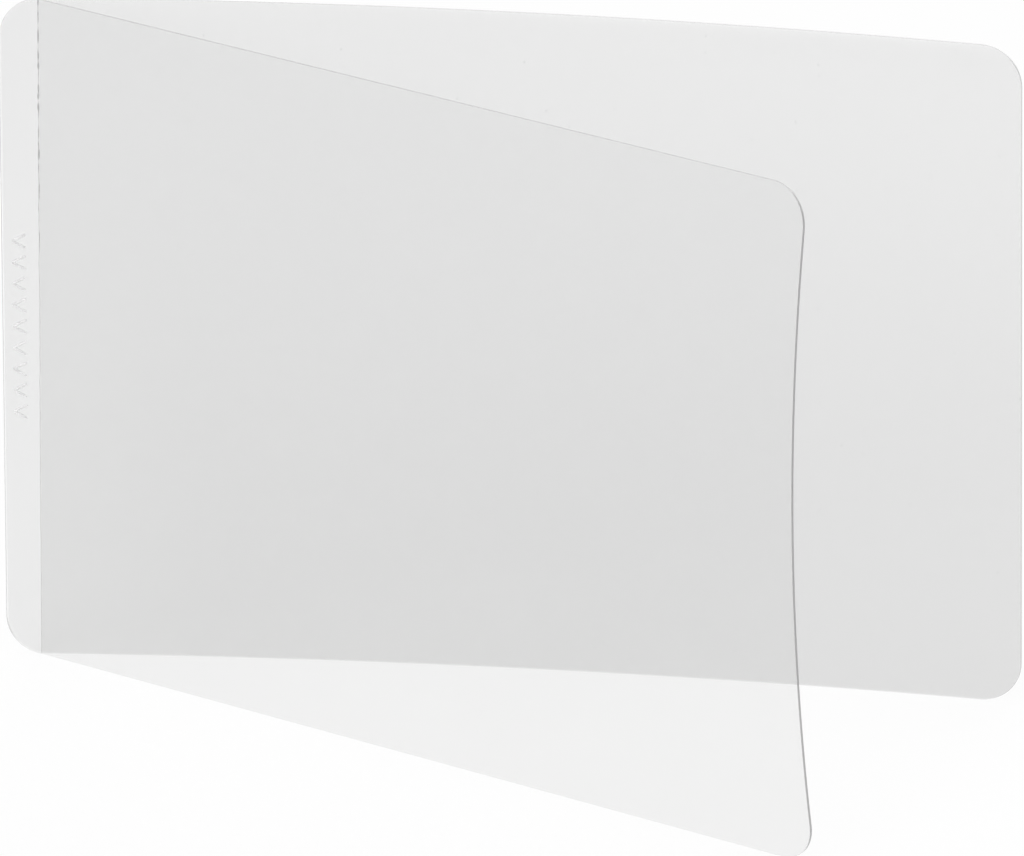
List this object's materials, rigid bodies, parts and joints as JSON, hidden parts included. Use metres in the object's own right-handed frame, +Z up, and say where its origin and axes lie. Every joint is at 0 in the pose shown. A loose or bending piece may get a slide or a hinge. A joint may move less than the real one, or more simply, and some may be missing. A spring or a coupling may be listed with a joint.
{
  "type": "laminating pouch",
  "caption": "Clear pouch of stiff adhesive-lined film, welded along a short edge, with leaves that open like a book to take a card for laminating.",
  "frame": {"origin": "middle of the footprint, on the surface that the long lower edges stand on", "axes": "+X from the welded strip towards the free ends of the leaves, +Y from the front leaf towards the back leaf, +Z up along the fold"},
  "size_m": [0.0892, 0.0554, 0.06],
  "materials": {
    "film": "gloss",
    "adhesive": "satin"
  },
  "bodies": {
    "seal_strip": {"front_seal_margin": "film", "seal_weld": "adhesive", "back_seal_margin": "film"},
    "front_leaf": {"front_film": "film", "front_adhesive": "adhesive"},
    "back_leaf": {"back_film": "film", "back_adhesive": "adhesive"}
  },
  "joints": [
    {"name": "front_fold", "type": "hinge", "parent": "seal_strip", "child": "front_leaf", "pos_m": [-0.04137, 0.02723, 0.03], "axis": [0, 0, -1], "range_deg": [-29.5, 82], "stiffness_Nm_per_rad": 0.005},
    {"name": "back_fold", "type": "hinge", "parent": "seal_strip", "child": "back_leaf", "pos_m": [-0.04137, 0.02757, 0.03], "axis": [0, 0, 1], "range_deg": [0, 120], "stiffness_Nm_per_rad": 0.005}
  ]
}
